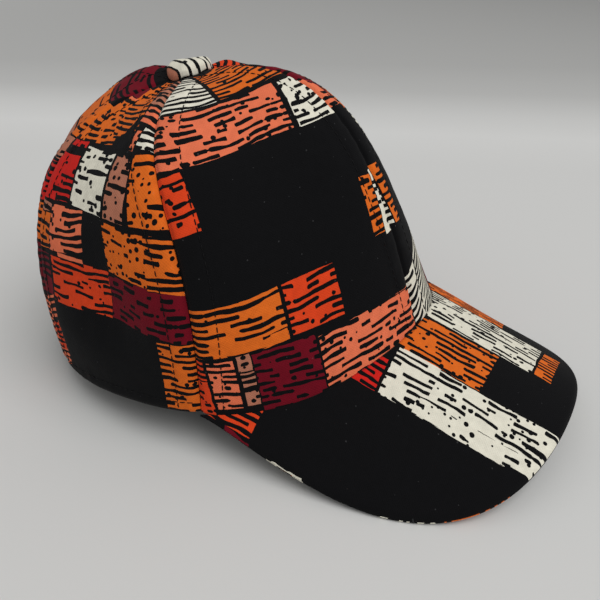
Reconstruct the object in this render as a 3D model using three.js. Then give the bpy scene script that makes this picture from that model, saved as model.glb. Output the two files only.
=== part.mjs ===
// A peaked cap sewn from printed cotton: six panels, a covered button and a curved peak.
// Millimetres, +Z up. The peak points along -Y and the wearer's right side is at -X.
// Standing by itself the cap rests on the peak's two side corners and on the back of its rim,
// with the origin on the surface under the middle of the whole cap.
import * as THREE from 'three';

// Rim: an ellipse, measured outside the cloth (a 58 cm head size).
const RIM_HALF_LENGTH = 98;
const RIM_HALF_WIDTH = 85;
const SIDE_RIM_RISE = 3.6;      // how far the rim bows up between the peak and the back

// Crown
const CROWN_HEIGHT = 116.5;     // from the rim's plane to the middle of the top
const CLOTH = 1.6;              // cloth with its facing
const SEAM_GAP = 0.3;           // between neighbouring pieces
const LEAN = THREE.MathUtils.degToRad(8.85); // the crown leans back as the cap stands

// Seams, as angles round the crown from the middle of the front.
const FRONT_SIDE_SEAM = THREE.MathUtils.degToRad(66.6);
const SIDE_BACK_SEAM = THREE.MathUtils.degToRad(119);
const SEAM_SWAY = THREE.MathUtils.degToRad(3);   // the front side seam's gentle S
const GROOVE_DEPTH = 0.9;       // each seam sinks between its two panels
const GROOVE_WIDTH = 3;

// How the crown's outline rises from rim to button, at four angles round it. Each outline is a
// curve with two handles: reach is a share of the rim's radius, rise a share of the crown's height.
const OUTLINES = [
  { at: 0, lowReach: 0.88, lowRise: 0.77, highReach: 0.75, highRise: 1.1 },
  { at: 60, lowReach: 1.015, lowRise: 0.65, highReach: 0.825, highRise: 1.03 },
  { at: 120, lowReach: 1.01, lowRise: 0.645, highReach: 0.795, highRise: 0.975 },
  { at: 180, lowReach: 1.02, lowRise: 0.43, highReach: 0.74, highRise: 1.19 },
];

// Panels of one side, from front to back. Between its seams a panel pulls in by its flatness, a
// share of its radius, and sinks near the button by a share of the crown's height.
const PANELS = [
  { name: 'front', flatness: 0.113, sink: 0.021, columns: 12, color: 0x1a1a1c },
  { name: 'side', flatness: 0.05, sink: 0.006, columns: 12, color: 0xe5731c },
  { name: 'back', flatness: 0.019, sink: 0, columns: 10, color: 0x74142e },
];
const PANEL_ROWS = 17;
const PANEL_TOP = 0.985;        // panels stop just short of the crown's middle
const CROWDING = 0.08;          // panel columns crowd at the seams, where the cloth turns in

// Soft hollows pressed into the cloth, or bulges where the depth is negative. Angle and width in
// degrees round the crown, with the wearer's right positive; place and tall as shares of the way
// up; depth in millimetres.
const HOLLOWS = [
  { angle: 88, width: 11, place: 0.2, tall: 0.13, depth: 5 },
  { angle: 33, width: 26, place: 0.56, tall: 0.05, depth: 0.9 },
  { angle: -92, width: 12, place: 0.22, tall: 0.13, depth: 3 },
  { angle: 150, width: 14, place: 0.3, tall: 0.14, depth: 2 },
  { angle: -146, width: 14, place: 0.33, tall: 0.14, depth: 2.5 },
  { angle: -28, width: 24, place: 0.63, tall: 0.21, depth: 3.2 },
  { angle: -65, width: 29, place: 0.94, tall: 0.053, depth: -5.5 },
  { angle: 175, width: 44, place: 0.89, tall: 0.075, depth: -2 },
];

// Peak: an arched sheet that slopes down from the crown, cut to a rounded outline.
const PEAK_LENGTH = 62.4;       // past the rim, along the middle
const PEAK_SLOPE = 0.484;
const PEAK_ARCH_RADIUS = 82.3;
const PEAK_COVER = 1.6;         // each cover, measured straight down
const PEAK_CORNER = 0.6;        // width of the peak where it starts at the front side seam
const PEAK_SIDE_HANDLE = 31.3;
const PEAK_SIDE_ANGLE = THREE.MathUtils.degToRad(-9.5);  // the sides draw in a little at first
const PEAK_FRONT_HANDLE = 90.9;
const PEAK_COLUMNS = 32;
const PEAK_ROWS = 9;

// Button
const BUTTON_RADIUS = 9.8;
const BUTTON_EDGE = 1.8;        // height of its upright edge
const BUTTON_DOME = 4.9;        // height of the dome above that edge
const BUTTON_SIDES = 20;
const BUTTON_RINGS = 5;

// Where the middle of the rim's plane lies, from the origin.
const RIM_MIDDLE_Y = 30.33;
const RIM_MIDDLE_Z = -0.1;

const TIP_X = RIM_HALF_WIDTH * Math.sin(FRONT_SIDE_SEAM);
const TIP_Y = -RIM_HALF_LENGTH * Math.cos(FRONT_SIDE_SEAM);

// The height of the peak's upper face, a slope down to the front plus an arch across.
function peakHeight(x, y) {
  return PEAK_SLOPE * (y - TIP_Y) + (TIP_X ** 2 - x ** 2) / (2 * PEAK_ARCH_RADIUS);
}

// The lower edge of the crown: on the peak's upper face in front, nearly level behind it.
function rimPoint(angle) {
  const x = -RIM_HALF_WIDTH * Math.sin(angle);
  const y = -RIM_HALF_LENGTH * Math.cos(angle);
  const turned = Math.abs(angle);
  if (turned <= FRONT_SIDE_SEAM) return new THREE.Vector3(x, y, peakHeight(x, y));
  const along = (turned - FRONT_SIDE_SEAM) / (Math.PI - FRONT_SIDE_SEAM);
  return new THREE.Vector3(x, y, 4 * SIDE_RIM_RISE * along * (1 - along));
}

// A value given at 0, 60, 120 and 180 degrees, carried smoothly round the crown by cosines.
function roundCrown(column, angle) {
  const [a, b, c, d] = OUTLINES.map((outline) => outline[column]);
  return (a + 2 * b + 2 * c + d) / 6
    + (a + b - c - d) / 3 * Math.cos(angle)
    + (a - b - c + d) / 3 * Math.cos(2 * angle)
    + (a - 2 * b + 2 * c - d) / 6 * Math.cos(3 * angle);
}

// The three seams of one side at a height, and the middle of the back, as angles.
function seamAngles(up) {
  return [0, FRONT_SIDE_SEAM - SEAM_SWAY * Math.sin(2 * Math.PI * up), SIDE_BACK_SEAM, Math.PI];
}

function hollowDepth(angle, up) {
  const degrees = THREE.MathUtils.radToDeg(angle);
  return HOLLOWS.reduce((sum, hollow) => {
    const turned = THREE.MathUtils.euclideanModulo(degrees - hollow.angle + 180, 360) - 180;
    const aside = turned / hollow.width;
    const above = (up - hollow.place) / hollow.tall;
    return sum + hollow.depth * Math.exp(-aside * aside - above * above);
  }, 0);
}

// A point of the crown's outer face: angle round it, and up from 0 at the rim to 1 at the button.
function crownPoint(angle, up) {
  const down = 1 - up;
  const low = 3 * up * down * down;
  const high = 3 * up * up * down;
  let reach = down ** 3 + low * roundCrown('lowReach', angle) + high * roundCrown('highReach', angle);
  let rise = low * roundCrown('lowRise', angle) + high * roundCrown('highRise', angle) + up ** 3;

  const turned = Math.min(Math.abs(angle), Math.PI);
  const seams = seamAngles(up);
  const panel = turned < seams[1] ? 0 : turned < seams[2] ? 1 : 2;
  const across = (turned - seams[panel]) / (seams[panel + 1] - seams[panel]);
  const bow = Math.sin(Math.PI * across) ** 2;
  const { flatness, sink } = PANELS[panel];
  const nearTop = 12 * up ** 4 * down;
  reach *= 1 - flatness * bow * Math.sin(Math.PI * up);
  rise -= sink * bow * nearTop;

  const rim = rimPoint(angle);
  const radius = reach * Math.hypot(rim.x, rim.y);
  const toSeam = Math.min(...seams.map((seam) => Math.abs(turned - seam))) * radius;
  const settled = Math.min(1, radius / 20);
  const groove = GROOVE_DEPTH * Math.exp(-((toSeam / GROOVE_WIDTH) ** 2)) * settled;
  // A hollow goes inward low on the crown and downward near the top.
  const hollow = hollowDepth(angle, up) * settled;
  const kept = (radius - groove - hollow * (1 - up * up)) / Math.hypot(rim.x, rim.y);
  const z = rim.z * (1 - rise) + CROWN_HEIGHT * rise - hollow * up * up;
  return new THREE.Vector3(rim.x * kept, rim.y * kept, z);
}

// The outward direction of the crown's face, from small steps along it.
function crownNormal(angle, up) {
  const step = 0.01;
  const low = Math.max(up - step, 0);
  const high = Math.min(up + step, 0.99);
  const round = crownPoint(angle + step, up).sub(crownPoint(angle - step, up));
  const rise = crownPoint(angle, high).sub(crownPoint(angle, low));
  return rise.cross(round).normalize();
}

// A closed sheet: grids of outer and inner points, each columns + 1 by rows + 1, joined round
// their four edges. Outer points have their columns to the left seen from outside.
function closedSheet(outer, inner) {
  const rows = outer.length;
  const columns = outer[0].length;
  const positions = [...outer.flat(), ...inner.flat()].flatMap((point) => point.toArray());
  const top = (row, column) => row * columns + column;
  const under = (row, column) => rows * columns + row * columns + column;
  const faces = [];
  const quad = (a, b, c, d) => faces.push(a, b, c, a, c, d);
  for (let row = 0; row < rows - 1; row += 1) {
    for (let column = 0; column < columns - 1; column += 1) {
      quad(top(row, column), top(row, column + 1), top(row + 1, column + 1), top(row + 1, column));
      quad(under(row, column), under(row + 1, column), under(row + 1, column + 1), under(row, column + 1));
    }
  }
  for (let column = 0; column < columns - 1; column += 1) {
    quad(top(0, column + 1), top(0, column), under(0, column), under(0, column + 1));
    quad(top(rows - 1, column), top(rows - 1, column + 1), under(rows - 1, column + 1), under(rows - 1, column));
  }
  for (let row = 0; row < rows - 1; row += 1) {
    quad(top(row, 0), top(row + 1, 0), under(row + 1, 0), under(row, 0));
    quad(top(row + 1, columns - 1), top(row, columns - 1), under(row, columns - 1), under(row + 1, columns - 1));
  }
  const geometry = new THREE.BufferGeometry();
  geometry.setAttribute('position', new THREE.Float32BufferAttribute(positions, 3));
  geometry.setIndex(faces);
  geometry.computeVertexNormals();
  return geometry;
}

function clothMesh(name, geometry, color) {
  const material = new THREE.MeshStandardMaterial({ color, roughness: 0.9, metalness: 0 });
  const mesh = new THREE.Mesh(geometry, material);
  mesh.name = name;
  return mesh;
}

// How far the front panels reach down behind the peak's edge, nothing at the front side seams.
function tuckDepth(angle) {
  const turned = Math.abs(angle) / FRONT_SIDE_SEAM;
  return turned < 1 ? 2 * PEAK_COVER * (1 - turned ** 6) : 0;
}

// From the crown's outer face to its inner face: square to the cloth, and straight down near
// the middle of the top, where the panels run together.
function throughCloth(angle, up, radius) {
  const settled = Math.min(radius / 25, 1) ** 2;
  const outward = crownNormal(angle, up).lerp(new THREE.Vector3(0, 0, 1), 1 - settled);
  return outward.normalize().multiplyScalar(-CLOTH);
}

// One panel, between two seams, from the rim to just short of the crown's middle.
function panelGeometry(index, side) {
  const { columns } = PANELS[index];
  const outer = [];
  const inner = [];
  for (let row = 0; row <= PANEL_ROWS; row += 1) {
    const up = PANEL_TOP * Math.max(row - 1, 0) / (PANEL_ROWS - 1);
    const [start, end] = seamAngles(up).slice(index, index + 2);
    const outerRow = [];
    const innerRow = [];
    for (let column = 0; column <= columns; column += 1) {
      const even = column / columns;
      const across = even - CROWDING * Math.sin(2 * Math.PI * even);
      const uncut = crownPoint(side * THREE.MathUtils.lerp(start, end, across), up);
      const radius = Math.hypot(uncut.x, uncut.y);
      const cut = SEAM_GAP / 2 / radius;
      const angle = side * THREE.MathUtils.lerp(start + cut, end - cut, across);
      const point = crownPoint(angle, up);
      if (row === 0) point.z -= tuckDepth(angle);
      outerRow.push(point);
      innerRow.push(point.clone().add(throughCloth(angle, up, radius)));
    }
    if (side > 0) {
      outerRow.reverse();
      innerRow.reverse();
    }
    outer.push(outerRow);
    inner.push(innerRow);
  }
  return closedSheet(outer, inner);
}

// The peak's outline seen from above: it leaves the crown at the seam, runs forward and turns
// across the front in one curve, half of it on each side.
const PEAK_EDGE = new THREE.CubicBezierCurve(
  new THREE.Vector2(TIP_X + PEAK_CORNER, TIP_Y),
  new THREE.Vector2(
    TIP_X + PEAK_CORNER + PEAK_SIDE_HANDLE * Math.sin(PEAK_SIDE_ANGLE),
    TIP_Y - PEAK_SIDE_HANDLE * Math.cos(PEAK_SIDE_ANGLE),
  ),
  new THREE.Vector2(PEAK_FRONT_HANDLE, -RIM_HALF_LENGTH - PEAK_LENGTH),
  new THREE.Vector2(0, -RIM_HALF_LENGTH - PEAK_LENGTH),
);

// A peak cover of its thickness, a given drop below the peak's upper face.
function peakGeometry(drop) {
  const outer = [];
  const inner = [];
  for (let row = 0; row <= PEAK_ROWS; row += 1) {
    const outward = row / PEAK_ROWS;
    const outerRow = [];
    const innerRow = [];
    for (let column = 0; column <= PEAK_COLUMNS; column += 1) {
      const fromMiddle = 1 - 2 * column / PEAK_COLUMNS;
      const angle = FRONT_SIDE_SEAM * fromMiddle;
      const rim = rimPoint(angle);
      const clear = 1 + SEAM_GAP / Math.hypot(rim.x, rim.y);
      const edge = PEAK_EDGE.getPoint(1 - Math.abs(fromMiddle));
      const edgeX = -Math.sign(fromMiddle) * edge.x;
      const x = THREE.MathUtils.lerp(rim.x * clear, edgeX, outward);
      const y = THREE.MathUtils.lerp(rim.y * clear, edge.y, outward);
      const z = peakHeight(x, y) - drop;
      outerRow.push(new THREE.Vector3(x, y, z));
      innerRow.push(new THREE.Vector3(x, y, z - PEAK_COVER));
    }
    outer.push(outerRow);
    inner.push(innerRow);
  }
  outer.reverse();
  inner.reverse();
  return closedSheet(outer, inner);
}

// The way up the crown, at an angle, at which its face is a given distance from the middle.
function upAtRadius(angle, radius) {
  let low = 0.6;
  let high = 1;
  for (let i = 0; i < 24; i += 1) {
    const up = (low + high) / 2;
    const point = crownPoint(angle, up);
    if (Math.hypot(point.x, point.y) > radius) low = up;
    else high = up;
  }
  return (low + high) / 2;
}

// The button: a dome whose foot follows the crown, a seam's gap above it. Rings of points run
// from its edge to its middle, first over the dome and then over the foot.
function buttonGeometry() {
  const dome = [];
  const foot = [];
  for (let ring = 0; ring < BUTTON_RINGS; ring += 1) {
    const share = 1 - ring / BUTTON_RINGS;
    const radius = BUTTON_RADIUS * share;
    for (let step = 0; step < BUTTON_SIDES; step += 1) {
      const angle = 2 * Math.PI * step / BUTTON_SIDES - Math.PI;
      const { z } = crownPoint(angle, upAtRadius(angle, radius));
      const x = -radius * Math.sin(angle);
      const y = -radius * Math.cos(angle);
      const height = BUTTON_EDGE + BUTTON_DOME * Math.sqrt(1 - share * share);
      foot.push(new THREE.Vector3(x, y, z + SEAM_GAP));
      dome.push(new THREE.Vector3(x, y, THREE.MathUtils.lerp(CROWN_HEIGHT, z, share) + height));
    }
  }
  foot.push(new THREE.Vector3(0, 0, CROWN_HEIGHT + SEAM_GAP));
  dome.push(new THREE.Vector3(0, 0, CROWN_HEIGHT + BUTTON_EDGE + BUTTON_DOME));

  const under = dome.length;
  const middle = BUTTON_RINGS * BUTTON_SIDES;
  const faces = [];
  for (let step = 0; step < BUTTON_SIDES; step += 1) {
    const next = (step + 1) % BUTTON_SIDES;
    faces.push(step, under + next, under + step, step, next, under + next);
    for (let ring = 0; ring < BUTTON_RINGS - 1; ring += 1) {
      const here = ring * BUTTON_SIDES;
      const inside = here + BUTTON_SIDES;
      faces.push(here + step, inside + step, here + next, here + next, inside + step, inside + next);
      faces.push(under + here + step, under + here + next, under + inside + step);
      faces.push(under + here + next, under + inside + next, under + inside + step);
    }
    const last = middle - BUTTON_SIDES;
    faces.push(last + step, middle, last + next, under + last + step, under + last + next, under + middle);
  }
  const geometry = new THREE.BufferGeometry();
  geometry.setFromPoints([...dome, ...foot]);
  geometry.setIndex(faces);
  geometry.computeVertexNormals();
  return geometry;
}

const leaning = new THREE.Group();
leaning.rotation.x = -LEAN;
leaning.position.y = RIM_HALF_LENGTH * (1 - Math.cos(LEAN));
leaning.position.z = RIM_HALF_LENGTH * Math.sin(LEAN);

for (const [sideName, side] of [['right', 1], ['left', -1]]) {
  PANELS.forEach((panel, index) => {
    leaning.add(clothMesh(`${panel.name}_${sideName}_panel`, panelGeometry(index, side), panel.color));
  });
}
leaning.add(clothMesh('button', buttonGeometry(), 0xe0ddcb));
leaning.add(clothMesh('peak_top', peakGeometry(0), 0x1a1a1c));
leaning.add(clothMesh('peak_under', peakGeometry(PEAK_COVER + SEAM_GAP), 0xe0ddcb));

const cap = new THREE.Group();
cap.position.set(0, RIM_MIDDLE_Y, RIM_MIDDLE_Z);
cap.add(leaning);

export default cap;
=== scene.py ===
"""A peaked cap sewn from printed patchwork cotton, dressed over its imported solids.

Shapes are worked out in millimetres, with the rim of the crown level, then leaned back as the cap
stands by itself and turned to metres. The peak points along -Y and the wearer's right is at -X.
"""
import math

import bpy
import numpy as np
from mathutils import Matrix, Vector


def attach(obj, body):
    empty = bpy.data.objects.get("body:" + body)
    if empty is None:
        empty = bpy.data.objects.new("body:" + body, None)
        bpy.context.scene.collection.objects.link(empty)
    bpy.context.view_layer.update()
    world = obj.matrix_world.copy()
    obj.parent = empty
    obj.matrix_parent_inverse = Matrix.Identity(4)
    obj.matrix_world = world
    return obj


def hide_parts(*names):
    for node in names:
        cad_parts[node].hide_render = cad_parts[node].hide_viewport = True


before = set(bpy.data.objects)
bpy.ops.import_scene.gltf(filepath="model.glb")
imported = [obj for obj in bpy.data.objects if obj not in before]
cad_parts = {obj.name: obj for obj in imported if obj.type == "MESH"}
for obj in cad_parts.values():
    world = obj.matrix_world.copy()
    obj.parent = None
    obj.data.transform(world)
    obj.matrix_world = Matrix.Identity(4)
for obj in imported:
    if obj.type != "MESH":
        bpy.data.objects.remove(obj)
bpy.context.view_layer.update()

# Crown panels: six gores of printed cotton on a thin facing, sewn edge to edge from the rim to
# the button. The seam allowances are pressed open and topstitched down, which raises a flat band
# on each side of a seam, with a crease between them and small puckers along the stitches.
MM = 0.001
RIM_HALF_LENGTH = 98        # the rim is an ellipse, measured outside the cloth
RIM_HALF_WIDTH = 85
SIDE_RIM_RISE = 3.6         # how far the rim bows up between the peak and the back
CROWN_HEIGHT = 116.5        # from the rim's plane to the middle of the top
CLOTH = 1.6                 # cloth with its facing
SEAM_GAP = 0.3
LEAN = math.radians(8.85)   # how far the cap leans back as it stands by itself
RIM_MIDDLE = (0, 30.33, -0.1)
FRONT_SIDE_SEAM = math.radians(66.6)
SIDE_BACK_SEAM = math.radians(119)
SEAM_SWAY = math.radians(3)     # how far the front side seam sways on its way up
GROOVE_DEPTH = 0.9
GROOVE_WIDTH = 3
TIP_X = RIM_HALF_WIDTH * math.sin(FRONT_SIDE_SEAM)
TIP_Y = -RIM_HALF_LENGTH * math.cos(FRONT_SIDE_SEAM)
PEAK_SLOPE = 0.484
PEAK_ARCH_RADIUS = 82.3
PEAK_COVER = 1.6            # each cover of the peak, measured straight down

# The crown's outline at 0, 60, 120 and 180 degrees from the front: a curve with two handles. Reach
# is a share of the rim's radius and rise a share of the crown's height.
OUTLINES = {
    "low_reach": (0.88, 1.015, 1.01, 1.02),
    "low_rise": (0.77, 0.65, 0.645, 0.43),
    "high_reach": (0.75, 0.825, 0.795, 0.74),
    "high_rise": (1.1, 1.03, 0.975, 1.19),
}

# Panels of one side: how far each pulls in between its seams, as a share of its radius, how far it
# sinks near the button, as a share of the height, how uneven its cloth lies in millimetres, and
# the columns and rows of its mesh.
PANELS = {
    "front": {"flatness": 0.113, "sink": 0.021, "uneven": 0.35, "columns": 140, "rows": 150},
    "side": {"flatness": 0.05, "sink": 0.006, "uneven": 0.8, "columns": 120, "rows": 145},
    "back": {"flatness": 0.019, "sink": 0, "uneven": 0.8, "columns": 120, "rows": 145},
}
PANEL_TOP = 0.985           # share of the way up at which the panels end, under the button
CROWDING = 0.11             # how far the columns of a panel's mesh are drawn towards its seams
TUCKED_ROWS = np.array([1, 0.8, 0.5, 0.2])          # first rows behind the peak: shares of the tuck
ROLLED_ROWS = np.array([0.08, 0.06, 0.04, 0.02])    # first rows elsewhere: depths below the rim
THINNEST = 0.003            # least share of its thickness, squared, that a panel's edge keeps
BUTTON_FIRM = 20            # distance from the middle within which hollows and relief fade out
BUTTON_LEVEL = 25           # distance within which the wall's thickness turns to straight down

# Soft hollows pressed into the cloth, or bulges where the depth is negative. Angle and width in
# degrees round the crown, with the wearer's right positive; place and tall as shares of the way
# up; depth in millimetres.
HOLLOWS = [
    {"angle": 88, "width": 11, "place": 0.2, "tall": 0.13, "depth": 5},
    {"angle": 33, "width": 26, "place": 0.56, "tall": 0.05, "depth": 0.9},
    {"angle": -92, "width": 12, "place": 0.22, "tall": 0.13, "depth": 3},
    {"angle": 150, "width": 14, "place": 0.3, "tall": 0.14, "depth": 2},
    {"angle": -146, "width": 14, "place": 0.33, "tall": 0.14, "depth": 2.5},
    {"angle": -28, "width": 24, "place": 0.63, "tall": 0.21, "depth": 3.2},
    {"angle": -65, "width": 29, "place": 0.94, "tall": 0.053, "depth": -5.5},
    {"angle": 175, "width": 44, "place": 0.89, "tall": 0.075, "depth": -2},
]

ALLOWANCE = 9               # from a seam to its row of topstitches
ALLOWANCE_RISE = 0.4
ALLOWANCE_EDGE = 1.6        # width over which the raised band falls off
CREASE_DEPTH = 1.1
CREASE_WIDTH = 1.1
STITCH_VALLEY = 0.3
VALLEY_WIDTH = 0.8
HEM_ROW = 4                 # from the rim up to the hem's row of stitches
HEM_RISE = 0.15
HEM_VALLEY_WIDTH = 0.9
SWELL_LENGTH = 38           # broad swells of the cloth, which die out towards the seams
SWELL_FREE = 14
RUMPLE = 0.07               # small rumples all over
RUMPLE_LENGTH = 9
RIM_FIRM = 0.6              # share of the relief that the doubled cloth at the rim takes away

# Puckers that a row of stitches draws into the cloth: their height, their length along the row,
# how much they are drawn out square to it, and how far they reach.
PUCKER = 0.16
SEAM_PUCKERS = {"length": 5, "drawn": 0.35, "reach": 7}
HEM_PUCKERS = {"length": 6, "drawn": 0.3, "reach": 4}


def peak_height(x, y):
    """The peak's upper face: a slope down to the front plus an arch across, a parabola in x."""
    return PEAK_SLOPE * (y - TIP_Y) + (TIP_X**2 - x**2) / (2 * PEAK_ARCH_RADIUS)


def rim_point(angle):
    """The crown's lower edge: an ellipse seen from above, on the peak's face in front of the front
    side seams and bowed up a little between there and the back."""
    x = -RIM_HALF_WIDTH * np.sin(angle)
    y = -RIM_HALF_LENGTH * np.cos(angle)
    turned = np.abs(angle)
    along = np.clip((turned - FRONT_SIDE_SEAM) / (np.pi - FRONT_SIDE_SEAM), 0, 1)
    z = np.where(turned <= FRONT_SIDE_SEAM, peak_height(x, y), 4 * SIDE_RIM_RISE * along * (1 - along))
    return x, y, z


def round_crown(column, angle):
    """A value given at 0, 60, 120 and 180 degrees, carried smoothly round by four cosines."""
    a, b, c, d = OUTLINES[column]
    return (
        (a + 2 * b + 2 * c + d) / 6
        + (a + b - c - d) / 3 * np.cos(angle)
        + (a - b - c + d) / 3 * np.cos(2 * angle)
        + (a - 2 * b + 2 * c - d) / 6 * np.cos(3 * angle)
    )


def seam_angles(up):
    """The front, the two seams of one side and the back, as angles, at each height."""
    level = np.zeros_like(up)
    sway = SEAM_SWAY * np.sin(2 * np.pi * up)
    return np.stack([level, FRONT_SIDE_SEAM - sway, level + SIDE_BACK_SEAM, level + np.pi])


def crown_face(angle, up):
    """The crown's outer face. A cubic with two handles rises from rim to button at every angle;
    each panel pulls in between its seams by a squared sine; seams and hollows sink by bell curves,
    a hollow inward low on the crown and downward near the top."""
    down = 1 - up
    low = 3 * up * down**2
    high = 3 * up**2 * down
    reach = down**3 + low * round_crown("low_reach", angle) + high * round_crown("high_reach", angle)
    rise = low * round_crown("low_rise", angle) + high * round_crown("high_rise", angle) + up**3
    turned = np.minimum(np.abs(angle), np.pi)
    seams = seam_angles(up)
    panel = (turned >= seams[1]).astype(int) + (turned >= seams[2])
    start = np.take_along_axis(seams, panel[None], 0)[0]
    end = np.take_along_axis(seams, panel[None] + 1, 0)[0]
    bow = np.sin(np.pi * (turned - start) / (end - start)) ** 2
    flatness = np.array([values["flatness"] for values in PANELS.values()])[panel]
    sink = np.array([values["sink"] for values in PANELS.values()])[panel]
    reach = reach * (1 - flatness * bow * np.sin(np.pi * up))
    rise = rise - sink * bow * 12 * up**4 * down
    x, y, z = rim_point(angle)
    plan = np.hypot(x, y)
    radius = reach * plan
    settled = np.minimum(1, radius / BUTTON_FIRM)
    to_seam = np.abs(turned - seams).min(0) * radius
    groove = GROOVE_DEPTH * np.exp(-((to_seam / GROOVE_WIDTH) ** 2)) * settled
    sunk = 0
    for hollow in HOLLOWS:
        aside = ((np.degrees(angle) - hollow["angle"] + 180) % 360 - 180) / hollow["width"]
        above = (up - hollow["place"]) / hollow["tall"]
        sunk = sunk + hollow["depth"] * np.exp(-(aside**2) - above**2) * settled
    kept = (radius - groove - sunk * (1 - up**2)) / plan
    return np.stack([x * kept, y * kept, z * (1 - rise) + CROWN_HEIGHT * rise - sunk * up**2], -1)


def standing(points):
    """Points of the level cap, leaned back about the back of the rim and set on the ground."""
    y = points[..., 1] - RIM_HALF_LENGTH
    z = points[..., 2]
    leaned_y = RIM_HALF_LENGTH + y * math.cos(LEAN) + z * math.sin(LEAN)
    leaned_z = z * math.cos(LEAN) - y * math.sin(LEAN)
    return np.stack([points[..., 0], leaned_y, leaned_z], -1) + RIM_MIDDLE


def unit(vectors):
    """Vectors divided by their lengths."""
    return vectors / np.maximum(np.linalg.norm(vectors, axis=-1, keepdims=True), 1e-12)


def grid_normals(points):
    """The direction square to a grid of points, from the differences along its rows and columns."""
    return unit(np.cross(np.gradient(points, axis=1), np.gradient(points, axis=0)))


def bell(distance, width):
    """A bell curve, 1 in the middle."""
    return np.exp(-((distance / width) ** 2))


def step_down(distance, edge, soft):
    """1 before the edge and 0 after it, along a smooth cubic as wide as soft."""
    share = np.clip((edge + soft / 2 - distance) / soft, 0, 1)
    return share * share * (3 - 2 * share)


def unevenness(across, along, size, seed):
    """Smooth bumps, mostly between -1 and 1: the sum of some plane waves, each about size
    millimetres long, in seeded directions, divided so that their usual height is about a half."""
    waves = 12
    draw = np.random.default_rng(seed)
    total = 0
    for turn, start, stretch in draw.uniform((0, 0, 0.7), (np.pi, 2 * np.pi, 1.5), (waves, 3)):
        wave = across * math.cos(turn) + along * math.sin(turn)
        total = total + np.sin(2 * np.pi * wave / (size * stretch) + start)
    return total / waves**0.5 / 1.4


def crown_relief(to_seam, across, along, uneven, seed):
    """How far the cloth stands out of the crown's face. Beside a seam: a crease, a raised allowance
    and the valley of its topstitches, puckered along their length. All over: swells and rumples.
    At the rim all of that is less, under the hem's own raised band, valley and puckers."""
    free = 1 - step_down(along, 1.5 * HEM_ROW, 2 * HEM_ROW) * RIM_FIRM
    allowance = ALLOWANCE_RISE * step_down(to_seam, ALLOWANCE + 1, ALLOWANCE_EDGE)
    crease = CREASE_DEPTH * bell(to_seam, CREASE_WIDTH)
    valley = STITCH_VALLEY * bell(to_seam - ALLOWANCE, VALLEY_WIDTH)
    puckers = PUCKER * unevenness(across * SEAM_PUCKERS["drawn"], along, SEAM_PUCKERS["length"], seed)
    puckers = puckers * bell(to_seam - ALLOWANCE / 2, SEAM_PUCKERS["reach"])
    hem = STITCH_VALLEY * bell(along - HEM_ROW, HEM_VALLEY_WIDTH)
    hem = hem - HEM_RISE * step_down(along, HEM_ROW + 2, 3)
    hem_puckers = PUCKER * unevenness(across, along * HEM_PUCKERS["drawn"], HEM_PUCKERS["length"], seed + 1)
    hem_puckers = hem_puckers * bell(along - HEM_ROW, HEM_PUCKERS["reach"])
    swells = uneven * unevenness(across, along, SWELL_LENGTH, seed + 2) * (1 - bell(to_seam, SWELL_FREE))
    rumples = RUMPLE * unevenness(across, along, RUMPLE_LENGTH, seed + 3)
    return (allowance - crease - valley + puckers + swells + rumples) * free - hem + hem_puckers


def tuck_depth(angle):
    """How far the front panels reach down behind the peak: full in front, none at the side seams."""
    turned = np.minimum(np.abs(angle) / FRONT_SIDE_SEAM, 1)
    return 2 * PEAK_COVER * (1 - turned**6)


def panel_grid(index, side):
    """Points of one panel's outer and inner faces, and its cloth coordinates: across from the
    panel's middle, along the marks of the print, and up its middle from the rim, in millimetres."""
    panel = list(PANELS.values())[index]
    first = len(TUCKED_ROWS)
    even = np.linspace(0, 1, panel["columns"] + 1)
    share = even - CROWDING * np.sin(2 * np.pi * even)
    up = np.concatenate([np.zeros(first), PANEL_TOP * np.linspace(0, 1, panel["rows"] + 1 - first)])
    start, end = seam_angles(up)[index:index + 2]
    uncut = crown_face(side * (start + end)[:, None] / 2, up[:, None])
    cut = SEAM_GAP / 2 / np.hypot(uncut[..., 0], uncut[..., 1])
    angle = side * ((start[:, None] + cut) * (1 - share) + (end[:, None] - cut) * share)
    face = crown_face(angle, np.broadcast_to(up[:, None], angle.shape))
    if index == 0:
        face[:first, :, 2] -= tuck_depth(angle[:first]) * TUCKED_ROWS[:, None]
    else:
        face[:first, :, 2] -= ROLLED_ROWS[:, None]
    if side > 0:
        face = face[:, ::-1]
        share = share[::-1]
    width = np.linalg.norm(np.diff(face, axis=1), axis=2).sum(1)
    middle = face[:, face.shape[1] // 2]
    along = np.concatenate([[0], np.linalg.norm(np.diff(middle, axis=0), axis=1).cumsum()])
    along = np.broadcast_to((along - along[first])[:, None], face.shape[:2])
    across = (share - 0.5) * width[:, None] * -side
    normal = grid_normals(face)
    to_seam = np.minimum(share, 1 - share) * width[:, None]
    relief = crown_relief(to_seam, across, along, panel["uneven"], 10 * index + side + 5)
    radius = np.hypot(face[..., 0], face[..., 1])[..., None]
    relief = relief * np.minimum(radius[..., 0] / BUTTON_FIRM, 1)
    settled = np.minimum(radius / BUTTON_LEVEL, 1) ** 2
    through = unit(normal * settled + np.array([0, 0, 1]) * (1 - settled))
    edge = np.clip(1 - (along[..., None] - along[0, 0]) / (CLOTH / 2), 0, 1)
    half = CLOTH / 2 * np.sqrt(np.maximum(1 - edge**2, THINNEST))
    middle_face = face + normal * relief[..., None] - through * CLOTH / 2
    return middle_face + through * half, middle_face - through * half, across, along


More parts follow.
